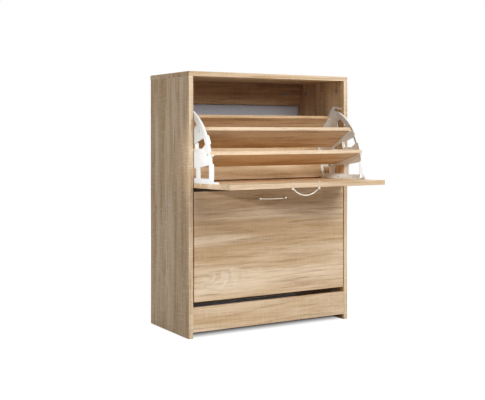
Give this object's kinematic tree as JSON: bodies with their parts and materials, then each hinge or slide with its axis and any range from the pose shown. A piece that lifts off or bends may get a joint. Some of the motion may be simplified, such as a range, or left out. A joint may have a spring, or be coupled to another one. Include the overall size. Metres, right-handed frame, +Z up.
{
  "type": "shoe cabinet",
  "caption": "Free-standing shoe cabinet with two drop-front flaps; each flap carries sloping shoe shelves between white pivoting end brackets.",
  "frame": {"origin": "centre of the bounding box's footprint, on the floor, with the upper flap open and the lower flap closed", "axes": "+Z up, -Y out of the front, +X towards the right side panel seen from the front"},
  "size_m": [0.6, 0.4972, 0.816],
  "materials": {
    "oak_laminate": "light oak laminate on particle board, matt with a fine sawn grain",
    "white_hardboard": "thin hardboard with a white painted face",
    "white_plastic": "moulded, satin",
    "satin_nickel": "satin nickel plated",
    "zinc_steel": "zinc plated",
    "beech": "plain turned beech"
  },
  "bodies": {
    "cabinet": {"left_side_panel": "oak_laminate", "right_side_panel": "oak_laminate", "top_panel": "oak_laminate", "plinth": "oak_laminate", "upper_back_rail": "oak_laminate", "middle_back_rail": "oak_laminate", "lower_back_rail": "oak_laminate", "back_panel": "white_hardboard", "back_panel_nails": "zinc_steel", "cam_nuts": "zinc_steel", "cam_bolts": "zinc_steel", "dowels": "beech", "pivot_plate_screws": "zinc_steel", "stop_pins": "zinc_steel", "upper_left_pivot_plate": "white_plastic", "upper_right_pivot_plate": "white_plastic", "lower_left_pivot_plate": "white_plastic", "lower_right_pivot_plate": "white_plastic"},
    "upper_flap": {"upper_door": "oak_laminate", "upper_bottom_shelf": "oak_laminate", "upper_middle_shelf": "oak_laminate", "upper_top_shelf": "oak_laminate", "upper_front_toe_board": "oak_laminate", "upper_rear_toe_board": "oak_laminate", "upper_handle": "satin_nickel", "upper_handle_screws": "zinc_steel", "upper_left_bracket": "white_plastic", "upper_right_bracket": "white_plastic", "upper_bracket_screws": "zinc_steel", "upper_shelf_screws": "zinc_steel", "upper_pivot_pins": "zinc_steel"},
    "lower_flap": {"lower_door": "oak_laminate", "lower_bottom_shelf": "oak_laminate", "lower_middle_shelf": "oak_laminate", "lower_top_shelf": "oak_laminate", "lower_front_toe_board": "oak_laminate", "lower_rear_toe_board": "oak_laminate", "lower_handle": "satin_nickel", "lower_handle_screws": "zinc_steel", "lower_left_bracket": "white_plastic", "lower_right_bracket": "white_plastic", "lower_bracket_screws": "zinc_steel", "lower_shelf_screws": "zinc_steel", "lower_pivot_pins": "zinc_steel"}
  },
  "joints": [
    {"name": "upper_flap_hinge", "type": "hinge", "parent": "cabinet", "child": "upper_flap", "pos_m": [0, 0.03241, 0.5193], "axis": [1, 0, 0], "range_deg": [-88.7, 0]},
    {"name": "lower_flap_hinge", "type": "hinge", "parent": "cabinet", "child": "lower_flap", "pos_m": [0, 0.03241, 0.1673], "axis": [1, 0, 0], "range_deg": [0, 88.7]}
  ]
}
